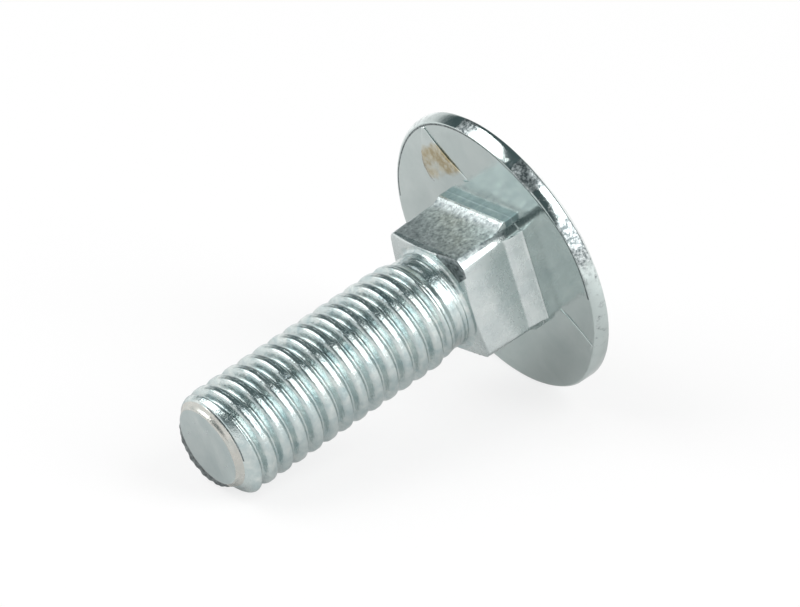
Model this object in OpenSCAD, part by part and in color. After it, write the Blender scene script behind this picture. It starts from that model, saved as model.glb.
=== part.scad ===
// Carriage bolt: low round head, square neck with a seating bar under each flat, and a coarse rolled
// thread that fades out before the neck. One forged piece, lying on its head rim and its thread.
// Sizes are in mm, +Z is up and the head is at +X.

/* [Head] */

// Largest diameter of the round head
head_d = 15.6; // [12:0.1:20]
// Height of the head, from the bearing face to the crown
head_h = 3.15; // [2.6:0.05:4.5]
// Height of the straight band round the rim
rim_h = 0.8; // [0.5:0.05:1.2]
// Bevel between the rim band and the bearing face
rim_bevel = 0.11; // [0.05:0.01:0.3]

/* [Square neck] */

// Width of the neck across its flats
neck_w = 6; // [5.5:0.05:6.5]
// Depth of the neck below the head
neck_h = 4; // [3.4:0.05:5]
// Diameter over the neck's blunted corners beside the head
corner_d = 8.3; // [7.8:0.05:8.6]
// Diameter over the neck's blunted corners at its free end
corner_end_d = 8.05; // [7.4:0.05:8.4]
// Height of the sloping shoulder at the neck's free end
shoulder_h = 0.2; // [0.1:0.05:0.6]
// Turn of the neck's flats round the bolt's axis, from square to the floor
neck_turn = -6; // [-45:1:45]

/* [Seating bars] */

// How far each bar stands out of its flat
bar_out = 0.3; // [0.1:0.05:0.35]
// Length of each bar
bar_l = 5.5; // [4:0.1:5.8]
// Height of each bar's flat face above the bearing face
bar_h = 0.72; // [0.4:0.02:1]
// Radius of the hollow that runs from the flat up to the bar
bar_fillet = 0.4; // [0.35:0.05:1]

/* [Shank and thread] */

// Length of the bolt, from the bearing face to the tip
shank_l = 19.1; // [16:0.1:40]
// Diameter over the thread's crests
thread_d = 5.9; // [5.7:0.01:6]
// Distance between one crest and the next
pitch = 1; // [0.75:0.05:1.25]
// Diameter of the unthreaded blank under the neck
blank_d = 5.34; // [5:0.01:5.6]
// Length of the unthreaded blank under the neck
blank_l = 0.75; // [0.4:0.05:4]
// Flare of the blank where it meets the neck
blank_flare = 0.25; // [0.1:0.05:0.4]
// Diameter of the flat end of the tip
tip_d = 4.4; // [3.6:0.1:4.8]
// Length of the bevelled lead at the tip
lead_l = 0.85; // [0.5:0.05:1.2]
// Place of the first crest on the floor side, from the tip
crest_start = 0.96; // [0.9:0.01:1.2]
// Number of turns over which the thread fades out
fade_turns = 1.6; // [0.5:0.1:3]

/* [Hidden] */

// Half sizes
head_r = head_d / 2;
neck_r = neck_w / 2;
thread_r = thread_d / 2;
blank_r = blank_d / 2;
tip_r = tip_d / 2;
// Radius of the crown, which springs from the top of the rim band
crown_h = head_h - rim_h;
crown_r = (head_r * head_r + crown_h * crown_h) / (2 * crown_h);
// Thread form: 60 degree flanks, a root an eighth of a pitch wide and rounded by its corners
thread_depth = 0.6134 * pitch;
root_w = 0.18 * pitch;
flank_slope = tan(30);
// Heights along the axis, from the bearing face at 0 down to the tip
neck_end = -neck_h;
blank_end = neck_end - blank_l;
fade_end = blank_end - (thread_r - blank_r);
tip_z = -shank_l;
// The groove's first and last angles, in degrees from the floor side
groove_over = 0.05;
groove_steps = 24;
groove_first = -180 - 360 * 2;
groove_last = 360 * (blank_end + 0.1 - tip_z - crest_start) / pitch - 180;
groove_n = ceil((groove_last - groove_first) * groove_steps / 360);
least_fade = 0.04;
// The pose: the head's rim and the first crest both touch the floor
crest_half = (pitch - root_w) / 2 - thread_depth * flank_slope;
touch_span = rim_bevel + shank_l - crest_start + crest_half;
tilt = atan((head_r - thread_r) / touch_span);
lift = head_r * cos(tilt) - rim_bevel * sin(tilt);
far_x = crown_r + (head_h - crown_r) * cos(tilt);
near_x = tip_z * cos(tilt) - tip_r * sin(tilt);
shift = -(far_x + near_x) / 2;
// How far pieces run into one another, and how far cutters run out
bite = 0.2;
clear = 1;
round_fn = 96;
crown_steps = 24;
// Sides that the rim is trimmed to, enough of them for the bolt to roll evenly and come to rest anywhere
rim_sides = 360;
// How far the turned head runs out beyond its trimmed rim
rim_over = 0.02;

// Place of the groove's middle along the axis at a step
function groove_z(step) = tip_z + crest_start
    + pitch * ((groove_first + 360 * step / groove_steps) / 360 + 0.5);

// Share of its full depth that the groove keeps at a step, as it fades towards the neck
function groove_share(step) =
    max(least_fade, min(1, (groove_n - step) / (groove_steps * fade_turns)));

// The four corners of the groove's section at a step, as [radius, offset along the axis]
function groove_section(depth) =
    let (half = root_w / 2, wide = half + (depth + groove_over) * flank_slope)
    [[thread_r + groove_over, -wide], [thread_r - depth, -half],
     [thread_r - depth, half], [thread_r + groove_over, wide]];

function groove_corners(step) =
    let (angle = groove_first + 360 * step / groove_steps)
    [for (c = groove_section(thread_depth * groove_share(step)))
        [c[0] * cos(angle), c[0] * sin(angle), groove_z(step) + c[1]]];

// The helical groove between the thread's crests
module thread_groove() {
    points = [for (step = [0 : groove_n]) each groove_corners(step)];
    sides = [for (step = [0 : groove_n - 1], side = [0 : 3])
        let (a = 4 * step + side, b = 4 * step + (side + 1) % 4)
        each [[a, b + 4, b], [a, a + 4, b + 4]]];
    last = 4 * groove_n;
    polyhedron(
        points = points,
        faces = concat(sides, [[0, 1, 2, 3]], [[last + 3, last + 2, last + 1, last]])
    );
}

// Turned form of the shank: bevelled lead, thread stock, fade and blank
module shank_form() {
    rotate_extrude($fn = round_fn)
        polygon([
            [0, tip_z],
            [tip_r, tip_z],
            [thread_r, tip_z + lead_l],
            [thread_r, fade_end],
            [blank_r, blank_end],
            [blank_r, neck_end - blank_flare],
            [blank_r + blank_flare, neck_end],
            [blank_r + blank_flare, neck_end + bite],
            [0, neck_end + bite]
        ]);
}

// Square stock with corners blunted by a cone and a sloping shoulder at the free end
module neck_form() {
    intersection() {
        translate([-neck_r, -neck_r, neck_end])
            cube([neck_w, neck_w, neck_h + bite]);
        rotate_extrude($fn = round_fn)
            polygon([
                [0, neck_end],
                [neck_r, neck_end],
                [corner_end_d / 2, neck_end + shoulder_h],
                [corner_d / 2, 0],
                [corner_d / 2, bite],
                [0, bite]
            ]);
    }
}

// A bar along the foot of one flat, with a hollow leading up to it
module seating_bar() {
    hollow_z = -bar_h - sqrt(bar_fillet * bar_fillet - pow(bar_fillet - bar_out, 2));
    difference() {
        translate([neck_r - bite, -bar_l / 2, hollow_z])
            cube([bite + bar_out, bar_l, bite - hollow_z]);
        translate([neck_r + bar_fillet, bar_l / 2 + clear, hollow_z])
            rotate([90, 0, 0])
                cylinder(h = bar_l + 2 * clear, r = bar_fillet, $fn = round_fn);
    }
}

// Outline of the trimmed rim, with one of its sides towards the floor
module rim_outline() {
    polygon([for (side = [0 : rim_sides - 1])
        let (angle = 360 * (side + 0.5) / rim_sides)
        [head_r * cos(angle), head_r * sin(angle)]]);
}

// Round head: bearing face, bevel and crown turned in one, then trimmed to the rim band
module head_form() {
    wide_r = head_r + rim_over;
    spring = asin(wide_r / crown_r);
    intersection() {
        rotate_extrude($fn = round_fn)
            polygon(concat(
                [[0, 0], [head_r - rim_bevel, 0], [wide_r, rim_bevel + rim_over]],
                [for (step = [0 : crown_steps])
                    let (angle = spring * (1 - step / crown_steps))
                    [crown_r * sin(angle), head_h - crown_r + crown_r * cos(angle)]]
            ));
        translate([0, 0, -clear])
            linear_extrude(height = head_h + 2 * clear)
                rim_outline();
    }
}

module carriage_bolt() {
    color([0.72, 0.75, 0.75])
        translate([shift, 0, lift])
            rotate([0, 90 - tilt, 0]) {
                difference() {
                    shank_form();
                    thread_groove();
                }
                head_form();
                rotate([0, 0, neck_turn]) {
                    neck_form();
                    for (turn = [0 : 90 : 270])
                        rotate([0, 0, turn])
                            seating_bar();
                }
            }
}

carriage_bolt();
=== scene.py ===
"""Looks for a carriage bolt lying on its head rim and its thread.

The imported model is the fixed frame. Its one node is replaced by a finer skin of the same bolt,
in the same place: a rolled thread with rounded crests and roots, softened arrises and the slight
waves of a forging, in bright zinc plating. Lengths here are in mm along the bolt's own axis, with
0 at the bearing face under the head, and turn into metres in the shared frame at the end.
"""

import math

import bmesh
import bpy
import numpy as np
from mathutils import Matrix, Vector


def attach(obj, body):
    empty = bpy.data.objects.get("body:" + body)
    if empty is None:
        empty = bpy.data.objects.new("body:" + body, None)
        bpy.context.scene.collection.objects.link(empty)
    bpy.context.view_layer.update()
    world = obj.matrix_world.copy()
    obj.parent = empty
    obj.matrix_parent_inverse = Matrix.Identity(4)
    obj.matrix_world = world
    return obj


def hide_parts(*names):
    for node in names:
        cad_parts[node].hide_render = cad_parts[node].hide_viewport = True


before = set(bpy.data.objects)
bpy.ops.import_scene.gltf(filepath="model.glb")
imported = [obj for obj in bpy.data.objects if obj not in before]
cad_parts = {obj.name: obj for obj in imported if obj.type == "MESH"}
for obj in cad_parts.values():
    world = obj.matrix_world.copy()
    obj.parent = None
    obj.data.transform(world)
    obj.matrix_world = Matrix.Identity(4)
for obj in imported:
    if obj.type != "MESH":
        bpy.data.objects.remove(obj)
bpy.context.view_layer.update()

# sizes, as in the part's source
HEAD_R = 7.8
HEAD_H = 3.15
RIM_H = 0.8
RIM_BEVEL = 0.11
NECK_R = 3.0
NECK_H = 4.0
CORNER_R = 4.15
CORNER_END_R = 4.025
SHOULDER_H = 0.2
NECK_TURN = math.radians(-6)
BAR_OUT = 0.3
BAR_HALF = 2.75
BAR_H = 0.72
BAR_FILLET = 0.4
SHANK_L = 19.1
THREAD_R = 2.95
PITCH = 1.0
BLANK_R = 2.67
BLANK_L = 0.75
BLANK_FLARE = 0.25
TIP_R = 2.2
LEAD_L = 0.85
CREST_START = 0.96
ROOT_W = 0.18

crown_h = HEAD_H - RIM_H
crown_r = (HEAD_R**2 + crown_h**2) / (2 * crown_h)
tip_z = -SHANK_L
neck_end = -NECK_H
blank_end = neck_end - BLANK_L
crest_half = (PITCH - ROOT_W * PITCH) / 2 - 0.6134 * PITCH * math.tan(math.radians(30))
tilt = math.atan((HEAD_R - THREAD_R) / (RIM_BEVEL + SHANK_L - CREST_START + crest_half))
lift = HEAD_R * math.cos(tilt) - RIM_BEVEL * math.sin(tilt)
far_x = crown_r + (HEAD_H - crown_r) * math.cos(tilt)
near_x = tip_z * math.cos(tilt) - TIP_R * math.sin(tilt)
shift = -(far_x + near_x) / 2

# small helpers
ROUND = 240  # points round the bolt, a multiple of 8
rng = np.random.default_rng(31)


def soft_min(a, b, k):
    h = np.clip(0.5 + 0.5 * (b - a) / k, 0, 1)
    return b * (1 - h) + a * h - k * h * (1 - h)


def step(t):
    t = np.clip(t, 0, 1)
    return t * t * (3 - 2 * t)


def waves(count, low, high):
    """Smooth random waves with lengths between low and high mm, at about unit height."""
    k = rng.normal(size=(count, 3))
    k /= np.linalg.norm(k, axis=1)[:, None]
    k *= (2 * np.pi / rng.uniform(low, high, count))[:, None]
    phase = rng.uniform(0, 2 * np.pi, count)

    def at(p):
        return np.sin(p @ k.T + phase).sum(-1) / math.sqrt(count)

    return at


broad = waves(14, 3.0, 8.0)
fine = waves(26, 0.6, 1.8)


# thread
CREST_HALF = 0.27
CREST_DROP = 0.1
FLANK_SLOPE = 2.0
ROOT_HALF = 0.11


def thread_profile(s):
    """Radius of the rolled thread at a distance s along the axis from a crest: a full crest over a rounded root."""
    s = np.abs(s)
    crest = THREAD_R - CREST_DROP * (s / CREST_HALF) ** 3
    flank = THREAD_R - CREST_DROP - FLANK_SLOPE * (s - CREST_HALF)
    from_root = np.minimum(PITCH / 2 - s, ROOT_HALF)
    rounding = FLANK_SLOPE * (ROOT_HALF - from_root) ** 2 / (2 * ROOT_HALF)
    return np.where(s < CREST_HALF, crest, flank + rounding)


half_rows = np.array([0, 0.055, 0.11, 0.1645, 0.225, 0.3, 0.3701, 0.435, 0.5]) * PITCH
rows = np.concatenate([-half_rows[:0:-1], half_rows])
low_plane = tip_z + 0.45
high_plane = blank_end
first_turn = -3
last_turn = math.ceil((high_plane - tip_z - CREST_START) / PITCH + 0.5) + 1
columns = np.arange(ROUND * first_turn, ROUND * last_turn + 1)
turn = 2 * np.pi * columns[:, None] / ROUND
along = tip_z + CREST_START + PITCH * turn / (2 * np.pi) + rows[None, :]
along = np.clip(along, low_plane, high_plane)
lead = TIP_R + (along - tip_z) * (THREAD_R - TIP_R) / LEAD_L
radius = soft_min(np.broadcast_to(thread_profile(rows)[None, :], along.shape), lead, 0.05)
radius = lead + (radius - lead) * step((along - low_plane) / 0.2)
fade = step((high_plane - along) / 1.5)
radius = BLANK_R + (radius - BLANK_R) * fade
seam = np.exp(-((rows[None, :] / 0.05) ** 2)) * (0.022 + 0.05 * (1 - fade)) * step((high_plane - along) / 0.3)
radius = radius - seam * step((along - tip_z - 0.9) / 0.4)
thread_points = np.stack(
    [radius * np.cos(turn), radius * np.sin(turn), along], -1
)
low_r = TIP_R + (low_plane - tip_z) * (THREAD_R - TIP_R) / LEAD_L


# rings above and below the thread
ring_turn = 2 * np.pi * np.arange(ROUND) / ROUND


def ring(r, z):
    return np.stack([r * np.cos(ring_turn), r * np.sin(ring_turn), z * np.ones(ROUND)], -1)


turned = np.degrees(ring_turn)


def lobe(centre, half):
    """1 on the side of the bolt that faces an angle, falling smoothly to 0 at half degrees away."""
    off = np.abs((turned - centre + 180) % 360 - 180)
    return np.cos(np.pi / 2 * np.clip(off / half, 0, 1)) ** 2


# The forged head bulges beyond its round on one side, and its rim leans in towards the bearing face.
# Where it touches the floor it keeps the source's own rim.
on_floor = step((62 - np.abs((turned + 180) % 360 - 180)) / 30)
rim_r = HEAD_R - 0.04 + 0.35 * lobe(162, 75) + 0.04 * lobe(0, 70) - 0.06 * lobe(-75, 45)
edge_r = 7.58 + 0.38 * lobe(165, 50) + 0.15 * lobe(-118, 25) - 0.15 * lobe(-70, 35) - 0.03 * lobe(-172, 20)
edge_r = edge_r + (HEAD_R - RIM_BEVEL - edge_r) * on_floor
slanted = lobe(-174, 30) ** 0.5
RIM_LEAN = ((0, 0), (0.03, 0.2), (0.1, 0.4), (0.2, 0.62), (0.35, 0.85), (0.5, 0.97), (0.6, 1), (0.8, 0.98))


def rim_ring(z):
    """The rim band at a height, from the bearing face's edge out to its full width."""
    heights, shares = zip(*RIM_LEAN)
    leaning = np.interp(z, heights, shares)
    leaning = leaning + (min(z / 0.66, 1) - leaning) * slanted
    plain = min(z / RIM_BEVEL, 1)
    share = leaning + (plain - leaning) * on_floor
    return ring(edge_r + (rim_r - edge_r) * share, z)


half_flat = np.array([0, 0.2, 0.4, 0.6, 0.8, 1.0, 1.2, 1.4, 1.6, 1.8, 2.0, 2.15, 2.3, 2.42, 2.52, 2.6, 2.66, 2.7,
                      2.73, 2.757, 2.79, 2.83])
BAR_SHARE = np.array([1.0] * 17 + [0.97, 0.8, 0.1, 0, 0])
EIGHTH = ROUND // 8
first = round(math.degrees(NECK_TURN) / (360 / ROUND))
place = (np.arange(ROUND) - first + EIGHTH) % (2 * EIGHTH) - EIGHTH
side = ((np.arange(ROUND) - first + EIGHTH) // (2 * EIGHTH)) % 4
from_middle = np.abs(place)
facing = np.sign(place)
near_corner = ((side == 2) & (facing > 0)) | ((side == 3) & (facing < 0))


def neck_ring(z, corner, out=0.0, cone=None, to_round=0.0, round_r=edge_r):
    """A square ring with blunt corners, pushed out by a bar on each flat."""
    corner = np.where(near_corner, corner - 0.12, corner)
    start = np.arccos(np.minimum(NECK_R / corner, 1.0))
    on_corner = from_middle >= len(half_flat)
    share = np.clip((from_middle - len(half_flat) + 1) / (EIGHTH - len(half_flat) + 1), 0, 1)
    y = half_flat[np.minimum(from_middle, len(half_flat) - 1)]
    y = np.minimum(y, NECK_R * np.tan(start) - 0.01)
    angle = np.where(on_corner, start + share * (math.pi / 4 - start), np.arctan2(y, NECK_R))
    r = soft_min(NECK_R / np.cos(angle), corner, 0.07)
    if cone is not None:
        r = soft_min(r, cone, 0.16)
    share = np.where(on_corner, 0, BAR_SHARE[np.minimum(from_middle, len(half_flat) - 1)])
    x = r * np.cos(angle) + out * share
    y = r * np.sin(angle) * facing
    a = side * (math.pi / 2) + NECK_TURN
    p = np.stack([x * np.cos(a) - y * np.sin(a), x * np.sin(a) + y * np.cos(a)], -1)
    if to_round:
        circle = round_r[:, None] * np.stack([np.cos(ring_turn), np.sin(ring_turn)], -1)
        p = p * (1 - to_round) + circle * to_round
    return np.concatenate([p, np.full((ROUND, 1), float(z))], 1)


def corner_at(z):
    share = np.clip((z - neck_end - SHOULDER_H) / (NECK_H - SHOULDER_H), 0, 1)
    return CORNER_END_R + (CORNER_R - CORNER_END_R) * share


# How a bar leans, as heights and degrees: a hollow, an edge and an outer face
RIGHT_BAR = ((-1.15, 0), (-0.85, 38), (-0.78, 15), (0, 15))
TOP_BAR = ((-1.3, 0), (-0.8, 30), (-0.58, 34), (-0.52, 0), (0, 0))


def bar_at(z):
    """How far the bars stand out of their flats at a height, for each place on the ring."""
    heights = np.linspace(-1.3, 0, 131)
    outs = []
    for leans in (RIGHT_BAR, TOP_BAR):
        slopes = np.tan(np.radians(np.interp(heights, *zip(*leans))))
        out = np.concatenate([[0], np.cumsum((slopes[1:] + slopes[:-1]) / 2 * np.diff(heights))])
        outs.append(BAR_OUT * float(np.interp(z, heights, out)) / out[-1])
    return np.where(side == 3, *outs)


def lines(z):
    """Faint rolled lines that run on over the blank after the thread has faded."""
    wave = np.cos(2 * np.pi * (z - PITCH * ring_turn / (2 * np.pi)) / (PITCH / 3))
    return BLANK_R + 0.014 * wave * step((z - high_plane) / 0.1) * step((neck_end - 0.2 - z) / 0.15)


upper = [ring(lines(z), z) for z in np.arange(high_plane, neck_end - BLANK_FLARE, 0.045)]
for k in range(7):
    a = k / 6 * math.pi / 2
    upper.append(ring(BLANK_R + BLANK_FLARE * (1 - math.cos(a)), neck_end - BLANK_FLARE * (1 - math.sin(a))))
blank_last = len(upper) - 1
for h in [0, 0.01, 0.025, 0.045, 0.07, 0.1, 0.14, 0.18, 0.22, 0.27, 0.34]:
    cone = NECK_R + 0.05 + (CORNER_END_R - NECK_R) * h / SHOULDER_H
    upper.append(neck_ring(neck_end + h, CORNER_END_R, cone=cone))
for z in [-3.5, -3.25, -3.0, -2.75, -2.5, -2.25, -2.0, -1.8, -1.6, -1.45, -1.3, -1.2, -1.14, -1.1, -1.04, -0.98,
          -0.93, -0.88, -0.83, -0.79, -0.765, -0.74, -0.7, -0.66, -0.62, -0.585, -0.565, -0.545, -0.52, -0.45, -0.3,
          -0.15, -0.07]:
    upper.append(neck_ring(z, corner_at(z), out=bar_at(z)))
neck_last = len(upper) - 1
hollow_row = blank_last + 34
bar_row = blank_last + 41
upper.append(neck_ring(-0.003, CORNER_R, out=BAR_OUT))
for t in [0.002, 0.012, *np.arange(0.03, 0.985, 0.03), 0.985]:
    upper.append(neck_ring(0.0, CORNER_R, out=BAR_OUT, to_round=t))
under_last = len(upper) - 1
for z in [0.003, 0.012, 0.03, 0.055, 0.08, 0.11, 0.15, 0.2, 0.26, 0.32, 0.38, 0.44, 0.5, 0.56, 0.62, 0.68, 0.73, 0.78]:
    upper.append(rim_ring(z))
rim_last = len(upper) - 1
spring = math.asin(HEAD_R / crown_r)
for a in np.linspace(0.985, 0.03, 30):
    r = crown_r * math.sin(spring * a)
    grown = r * (1 + (rim_r / HEAD_R - 1) * (r / HEAD_R) ** 2)
    upper.append(ring(grown, HEAD_H - crown_r + crown_r * math.cos(spring * a)))

# The tip: a burr on the floor side, a thin notch on the other, a bevelled edge and a flat face
crumbs = 1 + 0.05 * np.sin(np.radians(17 * turned)) + 0.05 * np.sin(np.radians(37 * turned + 50))
burr = 0.58 * np.sqrt(lobe(42, 62)) * crumbs
burr = np.minimum(burr, 2.85 / np.maximum(np.cos(ring_turn), 0.3) - 2.42)
notch = 0.1 * (lobe(-138, 55) + 0.5 * lobe(-70, 60))
lower = [ring(low_r, tip_z + 0.45)]
for r, z, burr_share, notch_share in [
    (2.585, 0.43, 0.05, 0), (2.57, 0.41, 0.12, 0.2), (2.555, 0.395, 0.2, 0.8), (2.54, 0.38, 0.32, 1), (2.52, 0.365, 0.46, 1),
    (2.49, 0.35, 0.6, 0.7), (2.46, 0.335, 0.75, 0), (2.45, 0.32, 0.9, 0), (2.4, 0.28, 1, 0), (2.33, 0.22, 0.85, 0),
    (2.28, 0.165, 0.35, 0), (2.25, 0.1, 0, 0), (2.21, 0.05, 0, 0), (2.175, 0.015, 0, 0), (2.15, 0.003, 0, 0),
]:
    lower.append(ring(r + burr * burr_share - notch * notch_share, tip_z + z * (1 - burr * burr_share)))
NOTCH_ROWS, BURR_FIRST, ring_first, ring_last = (3, 4, 5), 3, 7, len(lower) - 1
for r in [2.12, 2.0, 1.8, 1.6, 1.4, 1.2, 1.0, 0.75, 0.5, 0.25]:
    lower.append(ring(r, tip_z))

# forged and rolled surface
upper = np.array(upper)


def near(angle, width):
    """1 on the side of the bolt that faces an angle, falling to 0 at half the width away."""
    off = np.abs((turned - angle + 180) % 360 - 180)
    return step((width / 2 - off) / (width / 4))


under = upper[neck_last + 1 : under_last + 1]
far_out = np.hypot(under[..., 0], under[..., 1])
push = np.maximum(0.014 * broad(under) + 0.003 * fine(under), 0) * step((far_out - 3.6) / 0.8)
under[..., 2] += push * step((7.35 - far_out) / 0.3)
band = upper[under_last + 1 : rim_last + 1]
outward = band[..., :2] / np.linalg.norm(band[..., :2], axis=-1, keepdims=True)
torn = near(-150, 26) + near(-108, 30) + near(60, 50) + near(20, 16)
band[..., :2] -= outward * (np.abs(0.012 * broad(band)) + (0.004 + 0.022 * torn) * np.abs(fine(band)))[..., None]
crown = upper[rim_last + 1 :]
crown[..., 2] -= np.abs(0.006 * broad(crown) + 0.002 * fine(crown))
flats = upper[blank_last + 3 : neck_last + 1]
outward = flats[..., :2] / np.linalg.norm(flats[..., :2], axis=-1, keepdims=True)
flats[..., :2] -= outward * np.abs(0.01 * broad(flats * 1.6) + 0.005 * fine(flats))[..., None]
lower = np.array(lower)
face = lower[-10:]
face[..., 2] += np.abs(0.012 * broad(face * 1.4) + 0.003 * fine(face))


# folds in the bearing face
def fold(sharp, soft, high, low):
    """A low plate with one sharp side, sunk into the bearing face: a fold that the forging has closed."""
    down, over = 26, 14
    v = np.linspace(0, 1, down)[:, None]
    u = np.linspace(0, 1, over)[None, :]

    def side_at(points):
        a, r = np.radians([p[0] for p in points]), np.array([p[1] for p in points])
        knots = np.linspace(0, 1, len(points))
        return np.stack([np.interp(v, knots, r * np.cos(a)), np.interp(v, knots, r * np.sin(a))], -1)

    flat = side_at(sharp) * (1 - u[..., None]) + side_at(soft) * u[..., None]
    height = (high * (1 - u) ** 1.3 + low * (1 - u**6)) * step((1 - v) / 0.45) - 0.01 * (u**4 + v**4)
    top = np.concatenate([flat, -height[..., None]], -1)
    bottom = np.concatenate([flat, np.full((down, over, 1), 0.08)], -1)
    return np.stack([top, bottom])


folds = [
    fold([(151.8, 7.72), (153.5, 7.05), (156.2, 6.36), (159.3, 5.8), (165.5, 5.13), (171, 4.6)],
         [(149.6, 7.75), (143.2, 7.13), (136.4, 6.61), (131, 6.0), (128.5, 5.4), (128, 4.9)], 0.035, 0.014),
    fold([(-69.2, 7.38), (-72.1, 6.56), (-75, 5.66), (-77, 4.92)],
         [(-65, 7.3), (-52, 6.2), (-44, 5.3), (-40, 4.8)], 0.03, 0.004),
]

# one closed skin
mesh = bpy.data.meshes.new("carriage_bolt_skin")
parts = [thread_points.reshape(-1, 3), upper.reshape(-1, 3), lower.reshape(-1, 3),
         np.array([[0, 0, HEAD_H - 0.006], [0, 0, tip_z + 0.01]]), *[f.reshape(-1, 3) for f in folds]]
starts = np.cumsum([0] + [len(p) for p in parts])
points = np.concatenate(parts)
TIP_OFFSET = (-0.216, 0.087)  # the tip is off the bolt's axis, away from the floor
points[:, :2] += np.array(TIP_OFFSET) * step((tip_z + 0.95 - points[:, 2]) / 0.65)[:, None]
x_dir = np.array([math.sin(tilt), 0, -math.cos(tilt)])
z_dir = np.array([math.cos(tilt), 0, math.sin(tilt)])
placed = points[:, :1] * x_dir + points[:, 1:2] * np.array([0, 1, 0]) + points[:, 2:] * z_dir
placed = (placed + np.array([shift, 0, lift])) / 1000

faces, zones = [], []
THREAD, NECK, NECK_ROUGH_PAINTED_SHADE, SHADED, HEAD, PAINTED_SHADE, TIP, TIP_EDGE = range(8)


def grid(start, n_rows, n_cols, closed, zone_of):
    for i in range(n_rows - 1):
        for j in range(n_cols if closed else n_cols - 1):
            k = (j + 1) % n_cols
            faces.append((start + i * n_cols + j, start + i * n_cols + k,
                          start + (i + 1) * n_cols + k, start + (i + 1) * n_cols + j))
            zones.append(zone_of(i, j))


def lower_zone(i, j):
    """Which material a patch of the tip has: painted shade on the burr and in the notch, a light bevelled edge or the
    face.
    """
    if BURR_FIRST <= i < ring_first + 4 and -14 < wrapped[j] < 98:
        # painted shade: the burr on the floor side is coloured near-black
        return PAINTED_SHADE
    if i in NOTCH_ROWS and -172 < wrapped[j] < -92:
        # painted shade: the thin notch is coloured near-black
        return PAINTED_SHADE
    return TIP_EDGE if ring_first <= i < ring_last else THREAD if i < ring_first else TIP


def upper_zone(i, j):
    """Which material a patch of the upper rings has, by its row and its place on the ring: painted shade on the neck's
    shoulder under its near corner and along the bearing face's edge, rough plating with painted shade on the top flat,
    and painted shade on its bar face.
    """
    if i <= blank_last:
        return THREAD
    if i < blank_last + 9 and -178 < wrapped[j] < -112:
        # painted shade: the neck's shoulder under its near corner is coloured near-black
        return PAINTED_SHADE
    if i <= neck_last + 1 and side[j] == 2 and from_middle[j] < 20:
        if i >= bar_row:
            return SHADED
    if i <= neck_last:
        # the top flat: rough forged plating with painted shade in its dark mottle
        return NECK_ROUGH_PAINTED_SHADE if side[j] == 2 and blank_last + 10 < i < hollow_row else NECK
    if i == under_last - 1 and abs(wrapped[j]) > 95:
        # painted shade: a dark line along the bearing face's edge below the rim
        return PAINTED_SHADE
    return HEAD


wrapped = (turned + 180) % 360 - 180
grid(starts[0], len(columns), len(rows), False, lambda i, j: THREAD)
grid(starts[1], len(upper), ROUND, True, upper_zone)
grid(starts[2], len(lower), ROUND, True, lower_zone)
for j in range(ROUND):
    k = (j + 1) % ROUND
    top = starts[1] + (len(upper) - 1) * ROUND
    faces.append((top + j, top + k, starts[3]))
    zones.append(HEAD)
    end = starts[2] + (len(lower) - 1) * ROUND
    faces.append((end + j, end + k, starts[3] + 1))
    zones.append(TIP)

for start, plate in zip(starts[4:], folds):
    down, over = plate.shape[1:3]
    layer = down * over
    for k in (0, 1):
        grid(start + k * layer, down, over, False, lambda i, j: HEAD)
    loop = ([j for j in range(over)] + [i * over + over - 1 for i in range(1, down)]
            + [(down - 1) * over + j for j in range(over - 2, -1, -1)] + [i * over for i in range(down - 2, 0, -1)])
    for a, b in zip(loop, loop[1:] + loop[:1]):
        faces.append((start + a, start + b, start + layer + b, start + layer + a))
        zones.append(HEAD)

wear_and_painted_reflection = np.zeros(len(points))
# rim band marks: partly real scuffs, partly painted reflection, dark mottled patches that cut its highlights short
scuffs_and_painted_reflection = np.maximum.reduce([0.95 * lobe(-149, 14), 0.9 * lobe(-119, 22), 0.75 * lobe(178, 10), 0.35 * lobe(-80, 40),
                             0.4 * lobe(145, 40), 0.35 * lobe(30, 90), 0.46 * lobe(-120, 70)])
band_rows = np.arange(under_last + 1, rim_last + 3)
share = np.where(band_rows > rim_last, 0.5, 1.0)
wear_and_painted_reflection[starts[1] + band_rows[:, None] * ROUND + np.arange(ROUND)[None, :]] = scuffs_and_painted_reflection[None, :] * share[:, None]
stained = np.zeros(len(points))
layer = folds[0].shape[1] * folds[0].shape[2]
down, over = folds[0].shape[1:3]
along_fold = np.linspace(0, 1, down)[:, None] * np.ones(over)
stained[starts[4] : starts[4] + layer] = (0.74 * step((along_fold - 0.1) / 0.35) * step((1.1 - along_fold) / 0.4)).ravel()

bm = bmesh.new()
channels = [bm.verts.layers.float.new(name) for name in ("wear_and_painted_reflection", "stained")]
verts = []
for place_m, amounts in zip(placed, zip(wear_and_painted_reflection, stained)):
    vert = bm.verts.new(place_m)
    for channel, amount in zip(channels, amounts):
        vert[channel] = amount
    verts.append(vert)
for f, zone in zip(faces, zones):
    new = bm.faces.new([verts[i] for i in f])
    new.material_index = zone
    new.smooth = True
bmesh.ops.remove_doubles(bm, verts=bm.verts, dist=1e-8)
bmesh.ops.dissolve_degenerate(bm, edges=bm.edges, dist=1e-9)
bmesh.ops.recalc_face_normals(bm, faces=bm.faces)
open_edges = sum(1 for e in bm.edges if len(e.link_faces) != 2)
print("skin faces", len(bm.faces), "open edges", open_edges)
bm.to_mesh(mesh)
bm.free()
skin = bpy.data.objects.new("carriage_bolt_skin", mesh)
bpy.context.collection.objects.link(skin)
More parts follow.
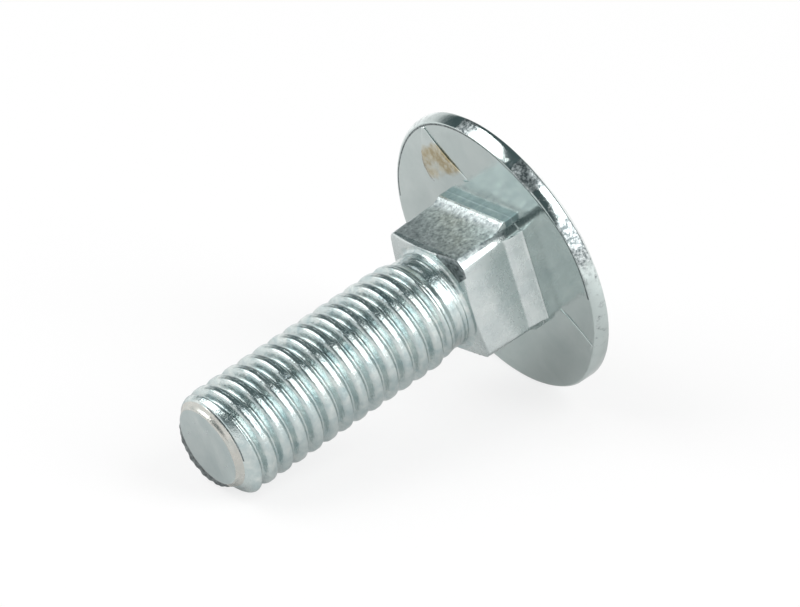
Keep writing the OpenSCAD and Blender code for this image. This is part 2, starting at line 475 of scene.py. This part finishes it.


# zinc plating, with painted shade and painted reflection on some patches
def zinc(name, tones, rough, bump, grain, blotch=2.2, marks=()):
    """Bright zinc: cloudy blue-white tone, patchy gloss and a fine grain in the surface.

    Each mark is a channel of the mesh, its two tones, its roughness and the size of its specks.
    """
    m = bpy.data.materials.new(name)
    m.use_nodes = True
    nt = m.node_tree
    n, link = nt.nodes, nt.links.new
    bsdf = n["Principled BSDF"]
    bsdf.inputs["Metallic"].default_value = 1.0
    coord = n.new("ShaderNodeTexCoord")
    to_mm = n.new("ShaderNodeVectorMath")
    to_mm.operation = "SCALE"
    to_mm.inputs["Scale"].default_value = 1000.0
    link(coord.outputs["Object"], to_mm.inputs[0])

    def noise(scale, detail, rough_=0.55, warp=0.0):
        t = n.new("ShaderNodeTexNoise")
        t.inputs["Scale"].default_value = scale
        t.inputs["Detail"].default_value = detail
        t.inputs["Roughness"].default_value = rough_
        t.inputs["Distortion"].default_value = warp
        link(to_mm.outputs[0], t.inputs["Vector"])
        return t

    cloud = noise(1 / blotch, 4, 0.6, 0.4)
    ramp = n.new("ShaderNodeValToRGB")
    ramp.color_ramp.elements[0].position = 0.3
    ramp.color_ramp.elements[1].position = 0.7
    ramp.color_ramp.elements[0].color = (*tones[0], 1)
    ramp.color_ramp.elements[1].color = (*tones[1], 1)
    link(cloud.outputs["Fac"], ramp.inputs["Fac"])
    tone = ramp.outputs["Color"]
    patch = noise(1.6, 5, 0.6)
    spread = n.new("ShaderNodeMapRange")
    spread.inputs["From Min"].default_value = 0.3
    spread.inputs["From Max"].default_value = 0.7
    spread.inputs["To Min"].default_value = rough[0]
    spread.inputs["To Max"].default_value = rough[1]
    link(patch.outputs["Fac"], spread.inputs["Value"])
    gloss = spread.outputs["Result"]
    for channel, mark_tones, mark_rough, specks in marks:
        where = n.new("ShaderNodeAttribute")
        where.attribute_name = channel
        speck = noise(1 / specks, 6, 0.7)
        total = n.new("ShaderNodeMath")
        total.operation = "ADD"
        link(where.outputs["Fac"], total.inputs[0])
        link(noise(0.4 / specks, 4, 0.6).outputs["Fac"], total.inputs[1])
        amount = n.new("ShaderNodeMapRange")
        amount.inputs["From Min"].default_value = 0.88
        amount.inputs["From Max"].default_value = 1.12
        link(total.outputs[0], amount.inputs["Value"])
        mark = n.new("ShaderNodeValToRGB")
        for element, place, colour in zip(mark.color_ramp.elements, (0.42, 0.62), mark_tones):
            element.position = place
            element.color = (*colour, 1)
        link(speck.outputs["Fac"], mark.inputs["Fac"])
        mixed_tone = n.new("ShaderNodeMixRGB")
        link(amount.outputs["Result"], mixed_tone.inputs["Fac"])
        link(tone, mixed_tone.inputs["Color1"])
        link(mark.outputs["Color"], mixed_tone.inputs["Color2"])
        tone = mixed_tone.outputs["Color"]
        rougher = n.new("ShaderNodeMath")
        rougher.operation = "MULTIPLY_ADD"
        rougher.inputs[1].default_value = mark_rough
        link(amount.outputs["Result"], rougher.inputs[0])
        link(gloss, rougher.inputs[2])
        gloss = rougher.outputs[0]
    link(tone, bsdf.inputs["Base Color"])
    link(gloss, bsdf.inputs["Roughness"])
    rough_grain = noise(grain, 6, 0.65)
    lumps = n.new("ShaderNodeBump")
    lumps.inputs["Strength"].default_value = min(bump, 1)
    lumps.inputs["Distance"].default_value = 0.00002 * max(bump, 1)
    link(rough_grain.outputs["Fac"], lumps.inputs["Height"])
    link(lumps.outputs["Normal"], bsdf.inputs["Normal"])
    return m


light_tone = (0.66, 0.71, 0.70)
# the rim's wear channel carries painted dark reflection as well as scuffs; the fold's stain is a real stain
head_marks_and_painted_reflection = (("wear_and_painted_reflection", ((0.13, 0.155, 0.16), (0.64, 0.68, 0.68)), 0.25, 0.16),
              ("stained", ((0.38, 0.32, 0.19), (0.58, 0.56, 0.45)), 0.1, 0.5))
for material in [
    zinc("zinc_thread", ((0.43, 0.53, 0.54), (0.69, 0.74, 0.72)), (0.12, 0.26), 1.8, 4, 0.7),
    zinc("zinc_neck", ((0.55, 0.61, 0.61), light_tone), (0.2, 0.34), 0.5, 3, 1.2),
    # rough top flat: real forging mottle with painted dark reflection in its dark tone
    zinc("zinc_neck_rough_painted_shade", ((0.2, 0.24, 0.25), (0.74, 0.8, 0.79)), (0.28, 0.5), 1.0, 8, 0.22),
    # painted shade on the top bar's outer face
    zinc("zinc_shaded", ((0.20, 0.27, 0.28), (0.34, 0.42, 0.42)), (0.3, 0.45), 0.8, 6, 0.4),
    zinc("zinc_head", ((0.50, 0.57, 0.56), (0.62, 0.68, 0.665)), (0.07, 0.18), 0.4, 2.5, 3.5, head_marks_and_painted_reflection),
    # painted shade: near-black colour for patches where shade falls
    zinc("zinc_painted_shade", ((0.05, 0.065, 0.07), (0.34, 0.38, 0.38)), (0.35, 0.55), 1.0, 6, 0.2),
    zinc("zinc_tip", ((0.46, 0.54, 0.54), (0.60, 0.66, 0.65)), (0.26, 0.4), 0.6, 6),
    zinc("zinc_tip_edge", ((0.46, 0.49, 0.47), (0.65, 0.63, 0.58)), (0.2, 0.34), 0.8, 7, 1.4),
]:
    mesh.materials.append(material)
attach(skin, "root")
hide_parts("carriage_bolt")

# floor, light and camera
floor_mesh = bpy.data.meshes.new("floor")
floor_mesh.from_pydata([(-2, -2, 0), (2, -2, 0), (2, 2, 0), (-2, 2, 0)], [], [(0, 1, 2, 3)])
floor = bpy.data.objects.new("floor", floor_mesh)
bpy.context.collection.objects.link(floor)
paper = bpy.data.materials.new("white_paper")
paper.use_nodes = True
n, link = paper.node_tree.nodes, paper.node_tree.links.new
n.clear()
out = n.new("ShaderNodeOutputMaterial")
path = n.new("ShaderNodeLightPath")


def paper_look(tone, glow_ray, near_glow, far_glow):
    """White paper, lit by the lamps, that glows for one kind of ray: one strength near the bolt and another farther
    from it. A weaker glow near the bolt is a painted shade round it.
    """
    diffuse = n.new("ShaderNodeBsdfDiffuse")
    diffuse.inputs["Color"].default_value = (tone, tone, tone, 1)
    spot = n.new("ShaderNodeTexCoord")
    away = n.new("ShaderNodeVectorMath")
    away.operation = "LENGTH"
    link(spot.outputs["Object"], away.inputs[0])
    strength = n.new("ShaderNodeMapRange")
    strength.inputs["From Min"].default_value = 0.015
    strength.inputs["From Max"].default_value = 0.06
    strength.inputs["To Min"].default_value = near_glow
    strength.inputs["To Max"].default_value = far_glow
    link(away.outputs["Value"], strength.inputs["Value"])
    amount = n.new("ShaderNodeMath")
    amount.operation = "MULTIPLY"
    link(strength.outputs["Result"], amount.inputs[1])
    link(path.outputs[glow_ray], amount.inputs[0])
    glow = n.new("ShaderNodeEmission")
    link(amount.outputs[0], glow.inputs["Strength"])
    both = n.new("ShaderNodeAddShader")
    link(diffuse.outputs[0], both.inputs[0])
    link(glow.outputs[0], both.inputs[1])
    return both


as_seen = n.new("ShaderNodeMixShader")
link(path.outputs["Is Camera Ray"], as_seen.inputs["Fac"])
# glossy rays: weaker glow near the bolt, a painted shade round it in the metal's reflections
link(paper_look(0.6, "Is Glossy Ray", 0.18, 0.6).outputs[0], as_seen.inputs[1])
link(paper_look(0.2, "Is Camera Ray", 0.78, 0.78).outputs[0], as_seen.inputs[2])
link(as_seen.outputs[0], out.inputs["Surface"])
floor_mesh.materials.append(paper)


def lamp(name, azimuth, elevation, distance, size, power):
    """A soft box that looks at the bolt; azimuth is from +Y towards +X."""
    data = bpy.data.lights.new(name, "AREA")
    data.shape = "RECTANGLE"
    data.size, data.size_y = size
    data.energy = power
    o = bpy.data.objects.new(name, data)
    a, e = math.radians(azimuth), math.radians(elevation)
    away = Vector((math.sin(a) * math.cos(e), math.cos(a) * math.cos(e), math.sin(e)))
    o.location = Vector((0, 0, 0.007)) + distance * away
    o.rotation_euler = away.to_track_quat("Z", "Y").to_euler()
    bpy.context.collection.objects.link(o)


lamp("soft_box_right", 157, 42, 0.6, (0.3, 0.5), 2.2)
lamp("soft_box_left", -48, 46, 0.6, (0.42, 0.42), 2.1)

world = bpy.data.worlds.new("studio")
bpy.context.scene.world = world
world.use_nodes = True
n, link = world.node_tree.nodes, world.node_tree.links.new
n.clear()
out = n.new("ShaderNodeOutputWorld")
plain = n.new("ShaderNodeBackground")
plain.inputs["Strength"].default_value = 0.5
white = n.new("ShaderNodeBackground")
white.inputs["Strength"].default_value = 1.0
room = n.new("ShaderNodeBackground")
direction = n.new("ShaderNodeTexCoord")
height = n.new("ShaderNodeSeparateXYZ")
link(direction.outputs["Generated"], height.inputs[0])
wall = n.new("ShaderNodeValToRGB")
wall.color_ramp.interpolation = "EASE"
wall.color_ramp.elements[0].position = 0.18
wall.color_ramp.elements[0].color = (1, 1, 1, 1)
wall.color_ramp.elements[1].position = 0.5
wall.color_ramp.elements[1].color = (0.09, 0.125, 0.13, 1)
link(height.outputs["Z"], wall.inputs["Fac"])
link(wall.outputs["Color"], room.inputs["Color"])
path = n.new("ShaderNodeLightPath")
seen = n.new("ShaderNodeMath")
seen.operation = "MAXIMUM"
link(path.outputs["Is Camera Ray"], seen.inputs[0])
link(path.outputs["Is Transmission Ray"], seen.inputs[1])
in_gloss = n.new("ShaderNodeMixShader")
link(path.outputs["Is Glossy Ray"], in_gloss.inputs["Fac"])
link(plain.outputs[0], in_gloss.inputs[1])
link(room.outputs[0], in_gloss.inputs[2])
mixed = n.new("ShaderNodeMixShader")
link(seen.outputs[0], mixed.inputs["Fac"])
link(in_gloss.outputs[0], mixed.inputs[1])
link(white.outputs[0], mixed.inputs[2])
link(mixed.outputs[0], out.inputs["Surface"])

PHOTO_W, PHOTO_H = 800, 607
FOCAL_PX = 5000
AZIMUTH, ELEVATION = math.radians(39.18), math.radians(27.29)
DISTANCE = 0.252
AIM_RIGHT, AIM_UP = 0.001142, 0.000339
forward = Vector((math.sin(AZIMUTH) * math.cos(ELEVATION), math.cos(AZIMUTH) * math.cos(ELEVATION), -math.sin(ELEVATION)))
right = Vector((math.cos(AZIMUTH), -math.sin(AZIMUTH), 0))
up = right.cross(forward)
cam_data = bpy.data.cameras.new("camera")
cam_data.sensor_width = 36
cam_data.lens = FOCAL_PX / PHOTO_W * 36
cam_data.clip_start = 0.01
cam_data.clip_end = 20
cam = bpy.data.objects.new("camera", cam_data)
bpy.context.collection.objects.link(cam)
eye = Vector((0, 0, 0.007)) + AIM_RIGHT * right + AIM_UP * up - DISTANCE * forward
turned = Matrix((right, up, -forward)).transposed().to_4x4()
cam.matrix_world = Matrix.Translation(eye) @ turned
bpy.context.scene.camera = cam
bpy.context.scene.view_settings.view_transform = "Standard"
